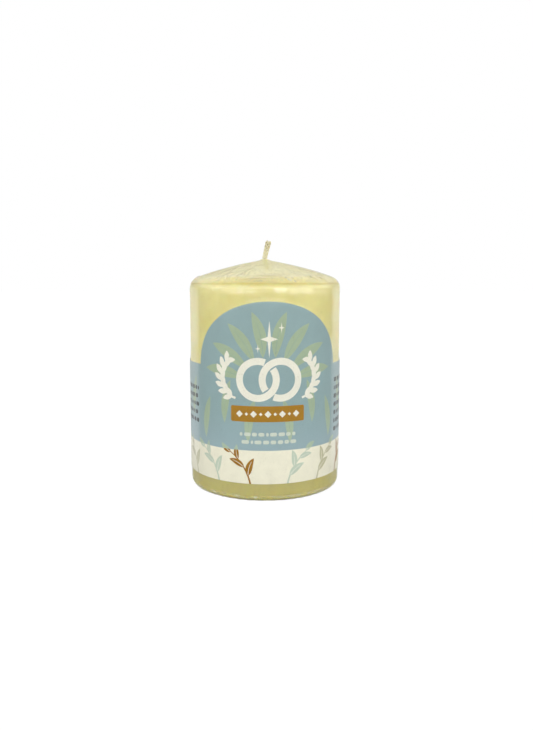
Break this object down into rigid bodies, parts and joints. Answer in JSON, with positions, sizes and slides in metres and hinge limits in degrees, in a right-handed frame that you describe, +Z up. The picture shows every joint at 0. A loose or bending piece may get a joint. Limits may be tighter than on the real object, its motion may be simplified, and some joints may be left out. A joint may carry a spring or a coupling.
{
  "type": "pillar candle",
  "caption": "Domed pillar candle of pressed and dipped wax with a braided wick, an arched paper wrap label and a clear shrink film over it all.",
  "frame": {"origin": "centre of the face the candle stands on", "axes": "+Z up along the candle's axis, -Y towards the front, where the label's arch is, and +X the way the wick leans"},
  "size_m": [0.0716, 0.0716, 0.1137],
  "materials": {
    "core_wax": "matt pressed paraffin wax, stood in for by matte plastic",
    "skin_wax": "smooth ivory paraffin wax with a soft sheen, stood in for by matte plastic",
    "tab_metal": "tin-plated sheet steel",
    "wick_cotton": "braided cotton primed with wax",
    "label_paper": "coated paper printed in satin inks",
    "label_glue": "set hot-melt glue, translucent amber",
    "clear_film": "clear glossy shrink film, stood in for by glass"
  },
  "bodies": {
    "candle": {"wax_core": "core_wax", "wax_overdip": "skin_wax", "wick_tab": "tab_metal", "wick_stem": "wick_cotton", "paper_label": "label_paper", "label_glue_strip": "label_glue", "shrink_film": "clear_film"},
    "wick_end": {"wick_tip": "wick_cotton"}
  },
  "joints": [
    {"name": "wick_lean", "type": "hinge", "parent": "candle", "child": "wick_end", "pos_m": [0, 0, 0.10586], "axis": [0, 1, 0], "range_deg": [-84, 56]}
  ]
}
